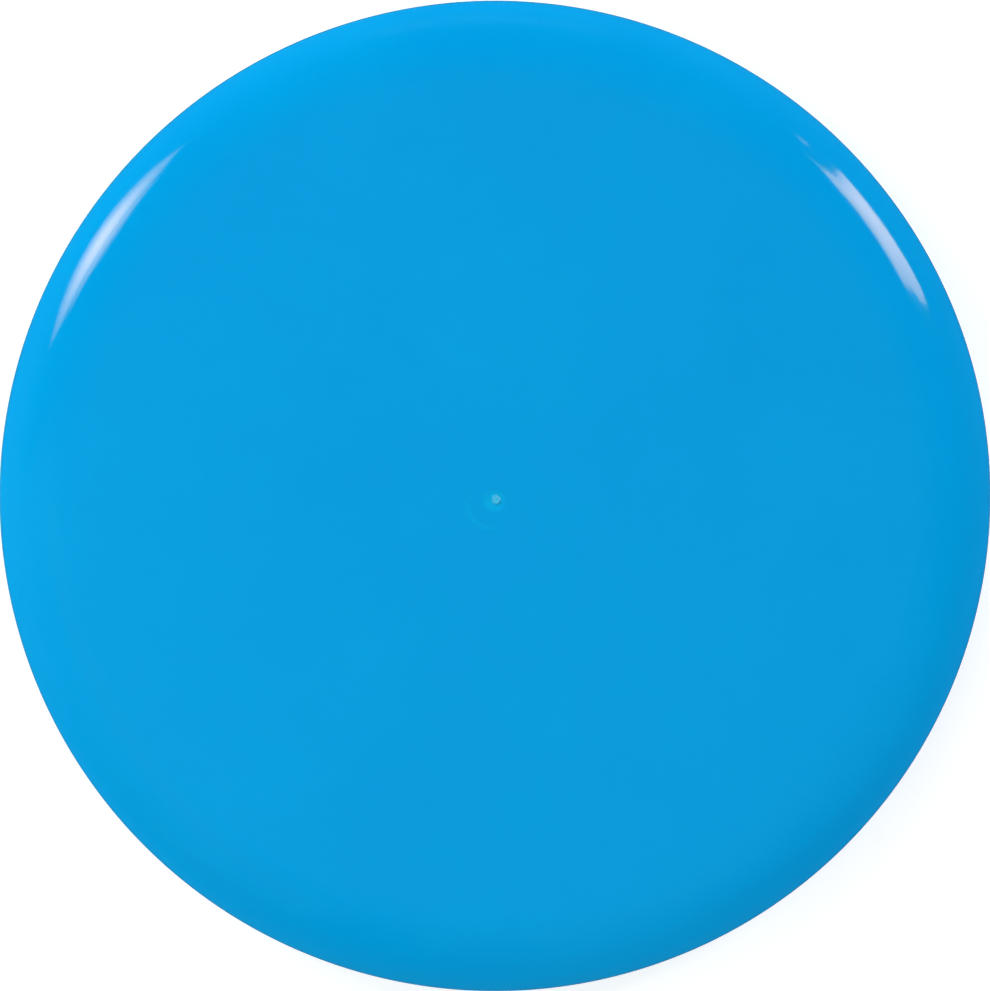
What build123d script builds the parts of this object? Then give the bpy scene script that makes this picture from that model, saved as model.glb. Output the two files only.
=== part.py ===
from build123d import *
import os
from math import radians, sin, sqrt, tan

# A flying disc for throwing at a target: a shallow dome with a deep, blunt rim.
# It is moulded in two shots. The flight plate is the first, with the inner wall
# of the rim in one piece with it. The outer rim is the second, moulded round the
# first, and the two meet at a round joint that shows on top as a fine line.
#
# Millimetres. +Z is up and is the disc's axis. The origin is the middle of the
# circle that the disc rests on, so its foot lies in the plane z = 0.

# ---- Driving dimensions ----
DIAMETER = 212.0           # across the nose, the widest point of the rim
NOSE_HEIGHT = 8.6          # of the widest point above the foot
PLATE_THICKNESS = 2.4      # the same from the middle to the shoulder
RIM_WIDTH = 10.0           # from the inner wall's mouth to the nose

# The outside above the nose: three arcs, and then one long arc to the middle.
# Each arc ends where the surface has turned to the slope given, in degrees.
NOSE_RADIUS, NOSE_END_SLOPE = 5.0, 45.0
WING_RADIUS, WING_END_SLOPE = 16.0, 15.0
SHOULDER_RADIUS, DOME_EDGE_SLOPE = 40.0, 2.5

# The outside below the nose: two arcs, and then the edge of the foot.
UNDERNOSE_RADIUS, UNDERNOSE_TURN = 6.0, 25.0
LOWER_WING_RADIUS, LOWER_WING_TURN = 22.0, 17.0

# The inside of the rim.
INNER_WALL_DRAFT = 1.5     # degrees, narrower towards the plate
INNER_LIP_RADIUS = 1.0     # between the inner wall and the foot
INNER_CORNER_RADIUS = 2.5  # between the inner wall and the plate

# The joint between the two shots: a straight cut, with a tongue across it.
SEAM_RADIUS = 98.3
SEAM_GROOVE_WIDTH = 0.6
SEAM_GROOVE_DEPTH = 0.05
TONGUE_LENGTH = 2.2        # how far the first shot reaches into the second
TONGUE_THICKNESS = 3.0
TONGUE_EDGE_RADIUS = 1.0
TONGUE_HEIGHT = 8.8        # of its middle above the foot

# Where the plastic came in, at the middle of the plate.
GATE_DIMPLE_DIAMETER = 5.0
GATE_DIMPLE_DEPTH = 0.3
GATE_NUB_DIAMETER = 1.9
GATE_NUB_HEIGHT = 0.5      # above the bottom of the dimple
GATE_NUB_EDGE_RADIUS = 0.25

NOSE_R = DIAMETER / 2
MOUTH_R = NOSE_R - RIM_WIDTH
FLAT_CUT = DIAMETER        # a length past every edge, for shapes that only cut


def turned(line, radius, turn):
    """An arc that goes on smoothly from the end of a line and turns by so many degrees."""
    return JernArc(line @ 1, line % 1, radius, turn)


def upper_outline(offset=0.0):
    """The arcs from the nose up to the axis, moved inwards by an offset."""
    nose = JernArc((NOSE_R - offset, NOSE_HEIGHT), (0, 1), NOSE_RADIUS - offset, 90 - NOSE_END_SLOPE)
    wing = turned(nose, WING_RADIUS - offset, NOSE_END_SLOPE - WING_END_SLOPE)
    shoulder = turned(wing, SHOULDER_RADIUS - offset, WING_END_SLOPE - DOME_EDGE_SLOPE)
    dome_radius = (shoulder @ 1).X / sin(radians(DOME_EDGE_SLOPE))
    return nose, wing, shoulder, turned(shoulder, dome_radius, DOME_EDGE_SLOPE)


def lower_outline():
    """The arcs from the nose down and inwards, to the point where they meet the foot level."""
    undernose = JernArc((NOSE_R, NOSE_HEIGHT), (0, -1), UNDERNOSE_RADIUS, -UNDERNOSE_TURN)
    wing = turned(undernose, LOWER_WING_RADIUS, -LOWER_WING_TURN)
    turn = UNDERNOSE_TURN + LOWER_WING_TURN
    edge_radius = (wing @ 1).Y / (1 - sin(radians(turn)))
    return undernose, wing, turned(wing, edge_radius, turn - 90)


def solid_section():
    """Half of the section, as it would be with no hollow under the plate."""
    upper, lower = upper_outline(), lower_outline()
    crown = upper[-1] @ 1
    foot = Line(lower[-1] @ 1, (0, 0))
    axis = Line((0, 0), crown)
    return make_face([*upper, *lower, foot, axis])


def hollow_section():
    """Half of the hollow under the plate, which is open at the bottom."""
    lean = tan(radians(INNER_WALL_DRAFT))
    inside_wall = make_face(
        Polyline(
            (0, -NOSE_HEIGHT),
            (MOUTH_R + NOSE_HEIGHT * lean, -NOSE_HEIGHT),
            (MOUTH_R - FLAT_CUT * lean, FLAT_CUT),
            (0, FLAT_CUT),
            close=True,
        )
    )
    underside = upper_outline(PLATE_THICKNESS)
    start, crown = underside[0] @ 0, underside[-1] @ 1
    below = Polyline(crown, (0, -NOSE_HEIGHT), (start.X, -NOSE_HEIGHT), start)
    hollow = inside_wall & make_face([*underside, below])
    corner = hollow.vertices().sort_by(lambda v: v.X + v.Y)[-1]
    return fillet(corner, INNER_CORNER_RADIUS)


def seam_groove():
    """The shallow round groove that marks the joint on top."""
    wing = upper_outline()[1]
    middle = wing.arc_center
    run = SEAM_RADIUS - middle.X
    seam = Vector(SEAM_RADIUS, middle.Y + sqrt(WING_RADIUS**2 - run**2))
    outwards = (seam - middle).normalized()
    half_width = SEAM_GROOVE_WIDTH / 2
    radius = (half_width**2 + SEAM_GROOVE_DEPTH**2) / (2 * SEAM_GROOVE_DEPTH)
    centre = seam + outwards * (radius - SEAM_GROOVE_DEPTH)
    return Pos(centre.X, centre.Y) * Circle(radius)


def gate_mark(section):
    """A section with the dimple and the nub that the gate leaves in the middle."""
    crown = (upper_outline()[-1] @ 1).Y
    half_width = GATE_DIMPLE_DIAMETER / 2
    radius = (half_width**2 + GATE_DIMPLE_DEPTH**2) / (2 * GATE_DIMPLE_DEPTH)
    bottom = crown - GATE_DIMPLE_DEPTH
    dimple = Pos(0, bottom + radius) * Circle(radius)
    root = PLATE_THICKNESS / 4  # how far the nub's outline runs down into the plate
    nub = Pos(0, bottom - root) * Rectangle(
        GATE_NUB_DIAMETER / 2, root + GATE_NUB_HEIGHT, align=(Align.MIN, Align.MIN)
    )
    rounded = fillet(nub.vertices().sort_by(lambda v: v.X + v.Y)[-1], GATE_NUB_EDGE_RADIUS)
    return section - dimple + rounded


def disc_section():
    """Half of the section of the whole disc, before it is divided into its two shots."""
    section = solid_section() - hollow_section()
    lip = section.vertices().sort_by(lambda v: (v.X - MOUTH_R) ** 2 + v.Y**2)[0]
    return gate_mark(fillet(lip, INNER_LIP_RADIUS) - seam_groove())


def first_shot_zone():
    """Everything inside the joint, and the tongue that stands out of it."""
    inside = Rectangle(SEAM_RADIUS, FLAT_CUT, align=(Align.MIN, Align.CENTER))
    tongue = RectangleRounded(2 * TONGUE_LENGTH, TONGUE_THICKNESS, TONGUE_EDGE_RADIUS)
    return inside + Pos(SEAM_RADIUS, TONGUE_HEIGHT) * tongue


def ring(section):
    """The solid that a half section makes when it is turned round the disc's axis."""
    return revolve(Plane.XZ * section, Axis.Z)


def flight_plate():
    """The first shot: the plate, and the inner wall of the rim with its tongue."""
    return ring(disc_section() & first_shot_zone())


def outer_rim():
    """The second shot: the nose and the wing, moulded round the first."""
    return ring(disc_section() - first_shot_zone())


PIECES = {"flight_plate": flight_plate, "outer_rim": outer_rim}

os.makedirs("parts", exist_ok=True)
for name, make in PIECES.items():
    export_step(make(), f"parts/{name}.step")
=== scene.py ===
from math import atan, cos, hypot, pi, radians, sin, sqrt, tan

import bpy
import numpy as np
from mathutils import Matrix, Vector


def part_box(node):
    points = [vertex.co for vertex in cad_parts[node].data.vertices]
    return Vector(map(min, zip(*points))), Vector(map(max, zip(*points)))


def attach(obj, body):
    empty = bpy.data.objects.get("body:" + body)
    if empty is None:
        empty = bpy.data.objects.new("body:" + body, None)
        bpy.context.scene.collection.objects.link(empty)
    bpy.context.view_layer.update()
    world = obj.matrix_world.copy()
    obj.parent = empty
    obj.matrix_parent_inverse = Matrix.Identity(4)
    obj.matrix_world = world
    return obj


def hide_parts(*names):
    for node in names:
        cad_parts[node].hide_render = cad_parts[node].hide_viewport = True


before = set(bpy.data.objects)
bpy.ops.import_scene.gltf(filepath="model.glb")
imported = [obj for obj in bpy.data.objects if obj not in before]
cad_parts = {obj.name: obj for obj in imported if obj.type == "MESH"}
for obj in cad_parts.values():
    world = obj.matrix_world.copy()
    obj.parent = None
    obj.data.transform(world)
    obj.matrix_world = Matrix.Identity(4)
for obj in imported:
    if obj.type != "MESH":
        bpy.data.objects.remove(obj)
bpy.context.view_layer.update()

# A flying disc, seen from above. Its two shots of plastic are turned here as fine
# meshes on the same section as the CAD model, with what a mould leaves on the
# surface: the gate mark, an insert line, a fine joint line and slow, shallow waves.
# The section is in millimetres, x from the axis and z up from the foot; the
# meshes are in metres.

MM = 0.001

# ---- The section's sizes, as in the CAD model ----
NOSE_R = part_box("outer_rim")[1].x / MM
NOSE_HEIGHT = 8.6
PLATE_THICKNESS = 2.4
MOUTH_R = NOSE_R - 10.0
UPPER_ARCS = [(5.0, 45.0), (16.0, 30.0), (40.0, 12.5)]  # radius and turn, from the nose up
DOME_EDGE_SLOPE = 2.5
LOWER_ARCS = [(6.0, 25.0), (22.0, 17.0)]                # radius and turn, from the nose down
INNER_WALL_DRAFT = 1.5
INNER_LIP_RADIUS = 1.0
INNER_CORNER_RADIUS = 2.5
SEAM_RADIUS = 98.3
TONGUE_END = SEAM_RADIUS + 2.2
TONGUE_LOW, TONGUE_HIGH, TONGUE_EDGE = 7.3, 10.3, 1.0
DIMPLE_RADIUS, DIMPLE_DEPTH = 2.5, 0.3
NUB_RADIUS, NUB_HEIGHT = 0.95, 0.5
NUB_LOBES = (0.96, 0.16, 0.04)   # of its radius: even, in two lobes and in three
NUB_LONGEST_AT = 115             # degrees round from +X
NUB_EDGE = (0.78, 1.12)          # of its radius, where its side begins and ends
NUB_TIP = (0.75, 0.12, 0.1)      # of its height: even, leaning and torn
NUB_HIGHEST_AT = 330             # degrees round from +X

# ---- What the mould leaves ----
INSERT_RADIUS, INSERT_WIDTH, INSERT_HEIGHT = 6.25, 0.4, 0.015
INSERT_MARKS_AT = 225      # degrees round from +X, where the insert's line is clearest
SEAM_HALF_WIDTH, SEAM_DEPTH = 0.3, 0.004

SEGMENTS = 432             # round the axis


# ---- The section ----

class Pen:
    """Draws an outline: arcs that run smoothly on from each other, and straight lines."""

    def __init__(self, x, z, heading):
        self.x, self.z, self.heading = x, z, heading
        self.points = [(x, z)]

    def arc(self, radius, turn, steps):
        """Turns left by so many degrees, or right where turn is below zero."""
        side = 1 if turn > 0 else -1
        start = radians(self.heading)
        centre_x = self.x - side * radius * sin(start)
        centre_z = self.z + side * radius * cos(start)
        for step in range(1, steps + 1):
            heading = radians(self.heading + turn * step / steps)
            self.x = centre_x + side * radius * sin(heading)
            self.z = centre_z - side * radius * cos(heading)
            self.points.append((self.x, self.z))
        self.heading += turn
        return self

    def line_to(self, x, z, steps=1):
        for step in range(1, steps + 1):
            share = step / steps
            self.points.append((self.x + (x - self.x) * share, self.z + (z - self.z) * share))
        self.x, self.z = x, z
        return self


def upper_circles(offset=0.0):
    """(centre x, centre z, radius, inner x) of each arc from the nose to the axis, an offset inside it."""
    circles, x, z, slope = [], NOSE_R, NOSE_HEIGHT, 90.0
    for radius, turn in UPPER_ARCS:
        centre_x, centre_z = x - radius * sin(radians(slope)), z - radius * cos(radians(slope))
        slope -= turn
        x, z = centre_x + radius * sin(radians(slope)), centre_z + radius * cos(radians(slope))
        circles.append((centre_x, centre_z, radius - offset, x - offset * sin(radians(slope))))
    radius = x / sin(radians(DOME_EDGE_SLOPE))
    circles.append((0.0, z - radius * cos(radians(DOME_EDGE_SLOPE)), radius - offset, 0.0))
    return circles


def top_height(x, offset=0.0):
    """The height of the top at a distance from the axis, or of the surface an offset below it."""
    for centre_x, centre_z, radius, inner_x in upper_circles(offset):
        if x >= inner_x:
            return centre_z + sqrt(max(radius**2 - (x - centre_x) ** 2, 0.0))


def spaced(stops):
    """Numbers from the first stop to the last: each stop is (number, spacing up to the next one)."""
    numbers = []
    for (start, spacing), (end, _) in zip(stops, stops[1:]):
        count = max(1, round((end - start) / spacing))
        numbers += [start + (end - start) * i / count for i in range(count)]
    return numbers + [stops[-1][0]]


def plate_top():
    """The top of the first shot, from the axis out to the joint."""
    stops = [
        (0.0, 0.08), (1.4, 0.2), (3.0, 0.5), (5.8, 0.06), (6.9, 0.8), (10.0, 2.5), (84.0, 1.0),
        (92.0, 0.4), (SEAM_RADIUS - 0.5, 0.06), (SEAM_RADIUS, 0),
    ]
    return [(x, top_height(x)) for x in spaced(stops)]


def rim_top():
    """The top of the second shot, from the joint out to the nose."""
    centre_x, centre_z, nose_radius, inner_x = upper_circles()[0]
    stops = [(SEAM_RADIUS, 0.06), (SEAM_RADIUS + 0.5, 0.25), (inner_x, 0)]
    slope = UPPER_ARCS[0][1]
    pen = Pen(inner_x, top_height(inner_x), -slope).arc(nose_radius, slope - 90, 20)
    return [(x, top_height(x)) for x in spaced(stops)] + pen.points[1:]


def corner_centre():
    """The middle of the round corner between the inner wall and the plate's underside."""
    draft = radians(INNER_WALL_DRAFT)
    low, high = 0.0, top_height(MOUTH_R, PLATE_THICKNESS)
    for _ in range(40):
        z = (low + high) / 2
        x = MOUTH_R - z * tan(draft) - INNER_CORNER_RADIUS / cos(draft)
        centre_x, centre_z, radius = underside_circle(x)
        gap = radius - hypot(x - centre_x, z - centre_z)
        low, high = (z, high) if gap > INNER_CORNER_RADIUS else (low, z)
    return x, z


def underside_circle(x):
    return next(c[:3] for c in upper_circles(PLATE_THICKNESS) if x >= c[3])


def tongue(pen, outwards):
    """The tongue's outline: from its top down for the first shot, from its foot up for the second."""
    near, far = (TONGUE_HIGH, TONGUE_LOW) if outwards else (TONGUE_LOW, TONGUE_HIGH)
    side = -1 if outwards else 1
    pen.line_to(TONGUE_END - TONGUE_EDGE, near, 2)
    pen.heading = 0
    pen.arc(TONGUE_EDGE, side * 90, 5).line_to(TONGUE_END, far - side * TONGUE_EDGE)
    return pen.arc(TONGUE_EDGE, side * 90, 5).line_to(SEAM_RADIUS, far, 2)


def plate_inside():
    """The rest of the first shot: down its side with the tongue, along the foot and back under the plate."""
    draft = radians(INNER_WALL_DRAFT)
    pen = tongue(Pen(SEAM_RADIUS, TONGUE_HIGH, 0), True).line_to(SEAM_RADIUS, 0, 6)
    lip_turn = 90 - INNER_WALL_DRAFT
    pen.line_to(MOUTH_R + INNER_LIP_RADIUS * tan(radians(lip_turn / 2)), 0, 4)
    pen.heading = 180
    pen.arc(INNER_LIP_RADIUS, -lip_turn, 10)
    x, z = corner_centre()
    pen.line_to(x + INNER_CORNER_RADIUS * cos(draft), z + INNER_CORNER_RADIUS * sin(draft), 10)
    centre_x, centre_z, _ = underside_circle(x)
    slope = atan((x - centre_x) / (z - centre_z)) / radians(1)
    pen.arc(INNER_CORNER_RADIUS, 90 - INNER_WALL_DRAFT - slope, 16)
    stops = [(0.0, 4.0), (80.0, 1.0), (pen.x, 0)]
    under = [(x, top_height(x, PLATE_THICKNESS)) for x in spaced(stops)]
    return pen.points + under[-2::-1]


def rim_inside():
    """The rest of the second shot: under the nose, along the foot and up its joint with the groove."""
    pen = Pen(NOSE_R, NOSE_HEIGHT, -90)
    for radius, turn in LOWER_ARCS:
        pen.arc(radius, -turn, 14)
    left_to_turn = 180 + pen.heading
    pen.arc(pen.z / (1 - cos(radians(left_to_turn))), -left_to_turn, 14)
    pen.line_to(SEAM_RADIUS, 0, 2).line_to(SEAM_RADIUS, TONGUE_LOW, 6)
    return tongue(pen, False).points[1:]


# ---- The surface ----

rng = np.random.default_rng(11)
WAVES = [                  # slow waves round the top: (lobes, phase, phase drift per mm outwards, share)
    (lobes, rng.uniform(0, 2 * pi), rng.uniform(-0.5, 0.5), rng.uniform(0.4, 1.0))
    for lobes in (3, 5, 8, 13, 21, 34, 47)
]
WAVE_HEIGHT = 0.004
WAVES_GROW = (20, 90)      # mm from the axis, from none to their full height
DETAIL_FADES = NOSE_R - 4  # from here out the surface's detail fades, to none at the nose


def smooth_step(low, high, value):
    share = np.clip((value - low) / (high - low), 0, 1)
    return share * share * (3 - 2 * share)


def hump(x, middle, half_width):
    return np.exp(-(((x - middle) / half_width) ** 2))


def gate_mark(x, angle):
    """The dimple in the middle, and the nub in it with its torn tip."""
    dimple = -DIMPLE_DEPTH * np.clip(1 - (x / DIMPLE_RADIUS) ** 2, 0, 1)
    even, two_lobes, three_lobes = NUB_LOBES
    longest = angle - radians(NUB_LONGEST_AT)
    ragged = NUB_RADIUS * (
        even + two_lobes * np.cos(2 * longest) + three_lobes * np.sin(3 * angle + 2.0)
    )
    mesa = 1 - smooth_step(*NUB_EDGE, x / ragged)
    level, leaning, torn = NUB_TIP
    lean = (x / NUB_RADIUS) * np.cos(angle - radians(NUB_HIGHEST_AT))
    tip = level + leaning * lean + torn * np.sin(6 * x) * np.sin(2 * angle)
    return dimple + NUB_HEIGHT * mesa * tip


def surface_shift(x, angle):
    """How far the top stands out from the plain section, in millimetres."""
    shift = gate_mark(x, angle)
    clear = (0.5 + 0.5 * np.cos(angle - radians(INSERT_MARKS_AT))) ** 2
    shift += INSERT_HEIGHT * clear * hump(x, INSERT_RADIUS, INSERT_WIDTH / 2)
    shift -= SEAM_DEPTH * np.clip(1 - ((x - SEAM_RADIUS) / SEAM_HALF_WIDTH) ** 2, 0, 1)
    waves = sum(
        share / sqrt(lobes) * np.sin(lobes * angle + phase + drift * x)
        for lobes, phase, drift, share in WAVES
    )
    return shift + WAVE_HEIGHT * smooth_step(*WAVES_GROW, x) * waves


def top_normals(points):
    """The plain section's outward direction at each point of the top."""
    circles = upper_circles()
    found = []
    for x, z in points:
        centre_x, centre_z, radius, _ = next(c for c in circles if x >= c[3])
        found.append(((x - centre_x) / radius, (z - centre_z) / radius))
    return found


def turned_piece(name, top, rest):
    """A closed mesh turned from an outline round the axis. Only the top gets the surface's detail."""
    outline = np.array(top + rest)
    normal = np.array(top_normals(top) + [(0, 0)] * len(rest))
    angle = np.arange(SEGMENTS) * 2 * pi / SEGMENTS
    x, z = outline[:, :1], outline[:, 1:]
    shift = surface_shift(x, angle) * smooth_step(NOSE_R, DETAIL_FADES, x)
    radius, height = x + normal[:, :1] * shift, z + normal[:, 1:] * shift
    verts, rows = [], []
    for i in range(len(outline)):
        on_axis = outline[i, 0] == 0
        first = len(verts)
        rows.append([first] * SEGMENTS if on_axis else list(range(first, first + SEGMENTS)))
        for j in range(1 if on_axis else SEGMENTS):
            verts.append((
                radius[i, j] * cos(angle[j]) * MM, radius[i, j] * sin(angle[j]) * MM, height[i, j] * MM
            ))
    closed = outline[0, 0] != 0
    faces = []
    for i in range(len(rows) if closed else len(rows) - 1):
        here, there = rows[i], rows[(i + 1) % len(rows)]
        for j in range(SEGMENTS):
            k = (j + 1) % SEGMENTS
            corners = (here[j], there[j], there[k], here[k])
            faces.append(tuple(dict.fromkeys(corners)))
    mesh = bpy.data.meshes.new(name)
    mesh.from_pydata(verts, [], faces)
    mesh.shade_smooth()
    mesh.set_sharp_from_angle(angle=radians(35))
    piece = bpy.data.objects.new(name, mesh)
    bpy.context.scene.collection.objects.link(piece)
    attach(piece, "root")
    return piece


# ---- Materials ----

BLUE = (0.0, 0.338, 0.83)
PALE_BLUE = (0.0, 0.358, 0.85)
NUB_PALE_BLUE = (0.06, 0.51, 0.88)         # of the nub, painted paler than the plastic round it
PAINTED_LIT_BLUE = (0.0, 0.415, 0.87)       # painted light: of the plastic round the nub, paler on its lit side, and of the insert's paler line
GLOSS_TINT = (1.0, 0.68, 0.38)         # keeps the highlights from clipping to a hard cyan

# How far each colour goes, here and below: (mm from its middle, share of the colour).
NUB_FADE = [(0.0, 0.6), (0.3, 0.85), (0.6, 1.0), (0.85, 0.8), (1.15, 0.0)]
DIMPLE_LIT_FADE = [(0.0, 1.0), (1.2, 1.0), (1.9, 0.75), (2.6, 0.0)]
DIMPLE_LIT_AT = (-0.4, -0.15)       # its middle, in mm: moved to the lower left, so that side is painted paler, as lit, and the side in the nub's shadow stays darker

# The mould's insert leaves a line, clearest on one side. It is painted paler there: painted light, where the
# side of its ridge would catch the light.
INSERT_LIT_FADE = [(0.0, 0.0), (5.7, 0.0), (6.1, 0.4), (6.4, 0.4), (6.9, 0.0)]
INSERT_LIT_SIDE_FADE = [(0.0, 1.0), (2.5, 1.0), (5.5, 0.0)]
INSERT_LIT_SIDE_AT = (-4.2, -4.6)

# The flat of the plate is a little satin, to soften what it mirrors when seen from the side.
# Its shoulder and the rim are polished.
SATIN_FADE = [(0.0, 1.0), (88.0, 1.0), (95.5, 0.0)]
SATIN = 0.15
POLISH = (0.05, 0.09)                  # from where the clouds are thin to where they are thick

CLOUD_SCALE, CLOUD_RANGE = 28.0, (0.3, 0.75)   # the range of the noise that makes the cloudy shades
SKIN_SCALE, SKIN_HEIGHT = 1200.0, 0.000004     # of the fine moulded skin, in metres


def add(tree, kind, links=(), **values):
    """A shader node. Values set its fields or inputs; links are (input, output socket)."""
    node = tree.nodes.new(kind)
    for key, value in values.items():
        if hasattr(node, key):
            setattr(node, key, value)
        else:
            node.inputs[key.replace("_", " ")].default_value = value
    for name, socket in links:
        tree.links.new(socket, node.inputs[name])
    return node


def fade(tree, place, fades, middle=(0, 0)):
    """The share of a colour by the distance from its middle."""
    reach = fades[-1][0] * MM
    moved = add(tree, "ShaderNodeVectorMath", [("Vector", place)], operation="MULTIPLY_ADD")
    moved.inputs[1].default_value = (1 / reach, 1 / reach, 0)
    moved.inputs[2].default_value = (-middle[0] * MM / reach, -middle[1] * MM / reach, 0)
    away = add(tree, "ShaderNodeVectorMath", [("Vector", moved.outputs["Vector"])], operation="LENGTH")
    ramp = add(tree, "ShaderNodeValToRGB", [("Fac", away.outputs["Value"])])
    stops = ramp.color_ramp.elements
    while len(stops) < len(fades):
        stops.new(1.0)
    for stop, (distance, share) in zip(stops, fades):
        stop.position, stop.color = distance * MM / reach, (share, share, share, 1)
    return ramp.outputs["Color"]


def mixed(tree, share, first, second):
    """A colour between two, each of them a socket or an (r, g, b)."""
    node = add(tree, "ShaderNodeMix", [("Factor", share)], data_type="RGBA")
    for name, colour in (("A", first), ("B", second)):
        if isinstance(colour, tuple):
            node.inputs[name].default_value = (*colour, 1)
        else:
            tree.links.new(colour, node.inputs[name])
    return node.outputs["Result"]


def moulded_plastic(name):
    """Glossy plastic: faintly cloudy where the colour flowed, with a fine moulded skin."""
    material = bpy.data.materials.new(name)
    material.use_nodes = True
    tree = material.node_tree
    shader = tree.nodes["Principled BSDF"]
    place = add(tree, "ShaderNodeTexCoord").outputs["Object"]

    clouds = add(
        tree, "ShaderNodeTexNoise", [("Vector", place)], Scale=CLOUD_SCALE, Detail=5.0, Roughness=0.55
    ).outputs["Fac"]
    shade = add(tree, "ShaderNodeMapRange", [("Value", clouds)])
    shade.inputs["From Min"].default_value, shade.inputs["From Max"].default_value = CLOUD_RANGE
    colour = mixed(tree, shade.outputs["Result"], BLUE, PALE_BLUE)
    # Painted light: a paler arc on one side of the insert's line, where its ridge would be lit.
    line = add(tree, "ShaderNodeMath", [
        (0, fade(tree, place, INSERT_LIT_FADE)), (1, fade(tree, place, INSERT_LIT_SIDE_FADE, INSERT_LIT_SIDE_AT))
    ], operation="MULTIPLY")
    colour = mixed(tree, line.outputs["Value"], colour, PAINTED_LIT_BLUE)
    # Painted light: a paler ring round the nub, paler still on its lower left where the light falls.
    colour = mixed(tree, fade(tree, place, DIMPLE_LIT_FADE, DIMPLE_LIT_AT), colour, PAINTED_LIT_BLUE)
    # The nub is painted paler than the plastic round it, a little less so in its very middle.
    colour = mixed(tree, fade(tree, place, NUB_FADE), colour, NUB_PALE_BLUE)
    tree.links.new(colour, shader.inputs["Base Color"])

    skin = add(
        tree, "ShaderNodeTexNoise", [("Vector", place)], Scale=SKIN_SCALE, Detail=3.0
    ).outputs["Fac"]
    polish = add(tree, "ShaderNodeMapRange", [("Value", clouds)])
    polish.inputs["To Min"].default_value, polish.inputs["To Max"].default_value = POLISH
    roughness = add(tree, "ShaderNodeMix", [
        ("Factor", fade(tree, place, SATIN_FADE)), ("A", polish.outputs["Result"])
    ], data_type="FLOAT")
    roughness.inputs["B"].default_value = SATIN
    tree.links.new(roughness.outputs["Result"], shader.inputs["Roughness"])
    bump = add(tree, "ShaderNodeBump", [("Height", skin)], Strength=1.0, Distance=SKIN_HEIGHT)
    tree.links.new(bump.outputs["Normal"], shader.inputs["Normal"])
    shader.inputs["IOR"].default_value = 1.5
    shader.inputs["Specular Tint"].default_value = (*GLOSS_TINT, 1)
    return material


def pale_floor():
    """White everywhere, and near the disc so little of that is its own glow that the shadow shows."""
    material = bpy.data.materials.new("pale_floor")
    material.use_nodes = True
    tree = material.node_tree
    shader = tree.nodes["Principled BSDF"]
    shader.inputs["Base Color"].default_value = (FLOOR_SHADE, FLOOR_SHADE, FLOOR_SHADE, 1)
    shader.inputs["Roughness"].default_value = FLOOR_ROUGHNESS
    shader.inputs["Specular IOR Level"].default_value = 0.0
    shader.inputs["Emission Strength"].default_value = 1.0
    place = add(tree, "ShaderNodeTexCoord").outputs["Object"]
    glow = mixed(tree, fade(tree, place, NEAR_FADE), (FAR_GLOW,) * 3, (NEAR_GLOW,) * 3)
    tree.links.new(glow, shader.inputs["Emission Color"])
    return material


# ---- The studio ----

FLOOR_SIZE = 40.0
FLOOR_SHADE, FLOOR_ROUGHNESS = 0.6, 0.9
NEAR_GLOW, FAR_GLOW = 0.58, 0.82
NEAR_FADE = [(0.0, 1.0), (130.0, 1.0), (450.0, 0.0)]   # (mm from the middle, share of the near glow)
FILL = 0.37                # of the surroundings, on matt colour
SIDE_LIGHT = (1.0, 1.0, 0.72)   # the colour of the soft lights
WALL_GLOSS = 0.04          # of the surroundings at eye level, in reflections
WALL_FADE = (0.1, 0.85)    # how far up it begins to darken and is dark, 1 being overhead
SHOULDER_R = 100.0         # where on the disc the highlights lie, in millimetres
PANEL_DISTANCE = 1.1

# The panels' outlines: corners (azimuth, elevation), in degrees, as seen from the shoulder.
SPINDLE_LEFT = {"middle": (147.5, 36.0), "half_width": 15.0, "half_height": 16.5, "steps": 16}
WINDOW_RIGHT = [
    (42.4, 27.4), (41.7, 46.5), (45.0, 48.4), (41.7, 50.0), (41.7, 51.0), (34.0, 51.0), (25.0, 51.0),
    (24.6, 43.0), (23.2, 40.0), (22.8, 31.0), (24.4, 27.4), (34.0, 27.4),
]
GLINT_RIGHT = [(47.2, 32.0), (47.4, 38.0), (48.2, 38.5), (48.5, 33.0)]
LENS = 100.0
SENSOR = 36.0
DISC_SHARE = 0.99915       # of the picture's width, that the disc fills
CAMERA_TILT = 1.6          # degrees off the disc's axis
CAMERA_TILT_TOWARDS = 106  # degrees round from +X
CAMERA_AIM = (-0.14, 0.57)  # mm to the right of the disc's middle, and up from it


def direction(azimuth, elevation):
    a, e = radians(azimuth), radians(elevation)
    return Vector((cos(a) * cos(e), sin(a) * cos(e), sin(e)))


def softbox(name, azimuth, elevation, distance, width, height, radiance):
    """A soft light that faces the disc and lights matt colour only. Radiance 1 looks white."""
    light = bpy.data.lights.new(name, "AREA")
    light.shape = "RECTANGLE"
    light.size, light.size_y = width, height
    light.energy = radiance * pi * width * height
    light.color = SIDE_LIGHT
    lamp = bpy.data.objects.new(name, light)
    away = direction(azimuth, elevation)
    lamp.location = away * distance
    lamp.rotation_mode = "QUATERNION"
    lamp.rotation_quaternion = away.to_track_quat("Z", "Y")
    lamp.visible_camera = False
    lamp.visible_glossy = False
    bpy.context.scene.collection.objects.link(lamp)


def spindle(middle, half_width, half_height, steps):
    """An outline that is pointed at both ends and widest in the middle."""
    azimuth, elevation = middle
    return [
        (azimuth + half_width * along, elevation + side * half_height * (1 - along**2))
        for side in (1, -1)
        for along in (side * (2 * i / steps - 1) for i in range(steps))
    ]


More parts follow.
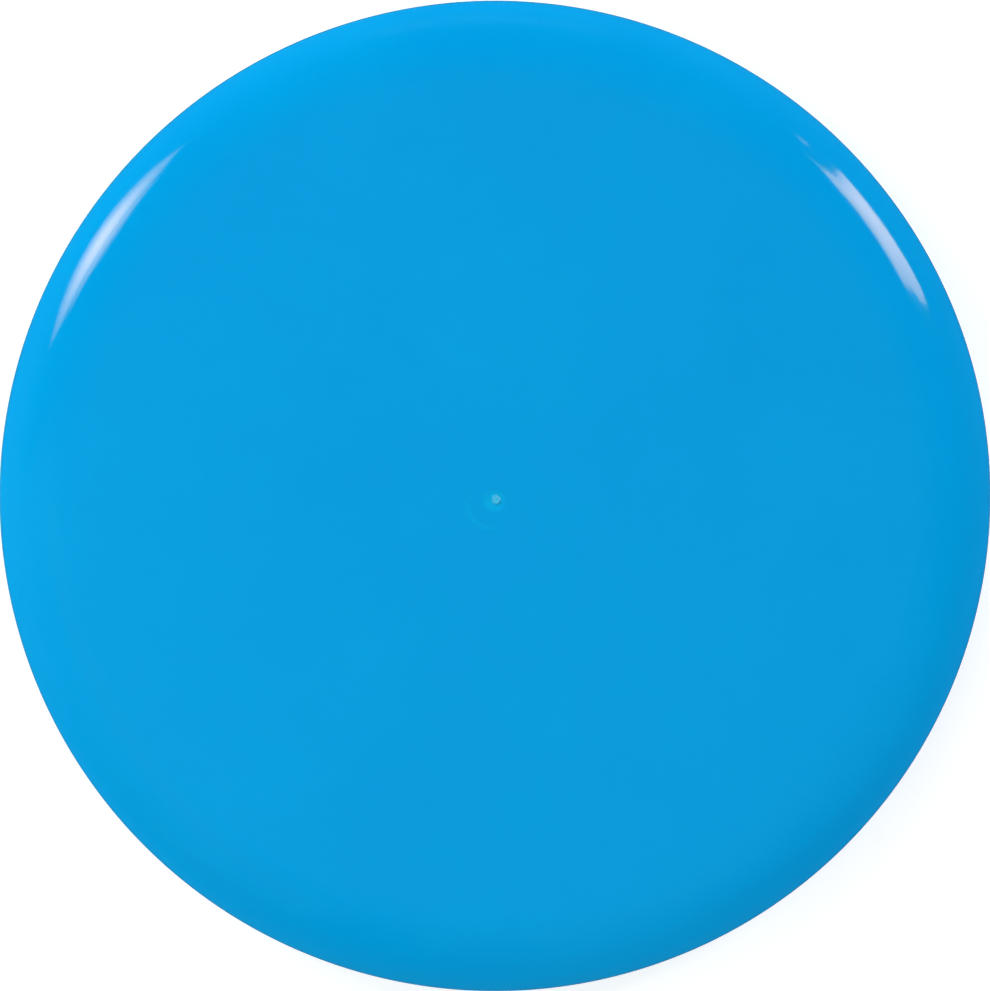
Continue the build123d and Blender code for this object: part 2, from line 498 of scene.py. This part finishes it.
def panel(name, radiance, hot_spot, outline, levels):
    """A glowing panel that the rim mirrors. The hot spot and the outline's corners are (azimuth,
    elevation) as seen from the shoulder nearest to them; the levels run from the hot spot outwards."""
    rings = len(levels) - 1
    verts, glow = [place_in_sky(*hot_spot)], [levels[0]]
    for ring in range(1, rings + 1):
        for corner in outline:
            share = ring / rings
            verts.append(place_in_sky(*(h + (c - h) * share for h, c in zip(hot_spot, corner))))
            glow.append(levels[ring])
    count = len(outline)
    faces = [(0, 1 + (j + 1) % count, 1 + j) for j in range(count)]
    for ring in range(rings - 1):
        near, far = 1 + ring * count, 1 + (ring + 1) * count
        for j in range(count):
            k = (j + 1) % count
            faces.append((near + j, near + k, far + k, far + j))
    mesh = bpy.data.meshes.new(name)
    mesh.from_pydata(verts, [], faces)
    mesh.attributes.new("glow", "FLOAT", "POINT").data.foreach_set("value", glow)
    material = bpy.data.materials.new(name)
    material.use_nodes = True
    tree = material.node_tree
    tree.nodes.clear()
    level = add(tree, "ShaderNodeAttribute", attribute_name="glow").outputs["Fac"]
    bright = add(tree, "ShaderNodeMath", [(0, level)], operation="MULTIPLY")
    bright.inputs[1].default_value = radiance
    light = add(tree, "ShaderNodeEmission", [("Strength", bright.outputs["Value"])])
    add(tree, "ShaderNodeOutputMaterial", [("Surface", light.outputs["Emission"])])
    mesh.materials.append(material)
    sheet = bpy.data.objects.new(name, mesh)
    sheet.visible_camera = False
    bpy.context.scene.collection.objects.link(sheet)


def place_in_sky(azimuth, elevation):
    shoulder = direction(azimuth, 0) * SHOULDER_R * MM
    return shoulder + direction(azimuth, elevation) * PANEL_DISTANCE


def surroundings():
    """What is round the disc: white to the camera, an even fill to matt colour, and to gloss a dark
    ceiling over paler walls."""
    world = bpy.data.worlds.new("surroundings")
    bpy.context.scene.world = world
    world.use_nodes = True
    tree = world.node_tree
    path = add(tree, "ShaderNodeLightPath")
    heading = add(tree, "ShaderNodeTexCoord").outputs["Generated"]
    up = add(tree, "ShaderNodeSeparateXYZ", [("Vector", heading)]).outputs["Z"]
    walls = add(tree, "ShaderNodeMapRange", [("Value", up)], interpolation_type="SMOOTHSTEP")
    walls.inputs["From Min"].default_value, walls.inputs["From Max"].default_value = WALL_FADE
    walls.inputs["To Min"].default_value, walls.inputs["To Max"].default_value = WALL_GLOSS, 0.0
    to_matt = add(tree, "ShaderNodeMix", [
        ("Factor", path.outputs["Is Glossy Ray"]), ("B", walls.outputs["Result"])
    ], data_type="FLOAT")
    to_matt.inputs["A"].default_value = FILL
    level = add(tree, "ShaderNodeMix", [
        ("Factor", path.outputs["Is Camera Ray"]), ("A", to_matt.outputs["Result"])
    ], data_type="FLOAT")
    level.inputs["B"].default_value = 1.0
    background = tree.nodes["Background"]
    background.inputs["Color"].default_value = (1, 1, 1, 1)
    tree.links.new(level.outputs["Result"], background.inputs["Strength"])


def floor():
    mesh = bpy.data.meshes.new("floor")
    half = FLOOR_SIZE / 2
    mesh.from_pydata(
        [(-half, -half, 0), (half, -half, 0), (half, half, 0), (-half, half, 0)], [], [(0, 1, 2, 3)]
    )
    mesh.materials.append(pale_floor())
    sheet = bpy.data.objects.new("floor", mesh)
    bpy.context.scene.collection.objects.link(sheet)
    sheet.visible_glossy = False


def camera():
    """Looks down on the disc, so far away that the disc just fills the picture."""
    data = bpy.data.cameras.new("camera")
    data.lens, data.sensor_width = LENS, SENSOR
    spread = DISC_SHARE * SENSOR / 2 / LENS
    distance = NOSE_R * MM / spread
    away = direction(CAMERA_TILT_TOWARDS, 90 - CAMERA_TILT)
    right = Vector((0, 1, 0)).cross(away).normalized()
    up = away.cross(right)
    target = Vector((0, 0, NOSE_HEIGHT)) + right * CAMERA_AIM[0] + up * CAMERA_AIM[1]
    seat = bpy.data.objects.new("camera", data)
    seat.location = target * MM + away * distance
    seat.rotation_euler = Matrix((right, up, away)).transposed().to_euler()
    bpy.context.scene.collection.objects.link(seat)
    bpy.context.scene.camera = seat


# ---- Making it ----

plate = turned_piece("flight_plate_surface", plate_top(), plate_inside())
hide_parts("flight_plate")
plate.data.materials.append(moulded_plastic("core_plastic"))

rim = turned_piece("outer_rim_surface", rim_top(), rim_inside())
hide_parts("outer_rim")
rim.data.materials.append(moulded_plastic("rim_plastic"))

surroundings()
floor()
panel("key_left", 14.0, (147.8, 35.5), spindle(**SPINDLE_LEFT), (1.0, 0.88, 0.6, 0.3, 0.1))
panel("key_right", 12.0, (37.0, 35.0), WINDOW_RIGHT, (1.0, 0.94, 0.8, 0.62, 0.42))
panel("glint_right", 2.2, (47.6, 35.0), GLINT_RIGHT, (1.0, 1.0))
softbox("fill_left", 210, 40, 0.5, 0.50, 0.35, 1.2)
softbox("fill_front", 300, 40, 0.5, 0.50, 0.35, 0.65)
softbox("fill_back", 90, 20, 4.0, 2.0, 1.2, 7.0)
softbox("fill_side", 180, 12, 0.5, 0.50, 0.16, 1.1)
camera()
bpy.context.scene.view_settings.view_transform = "Standard"
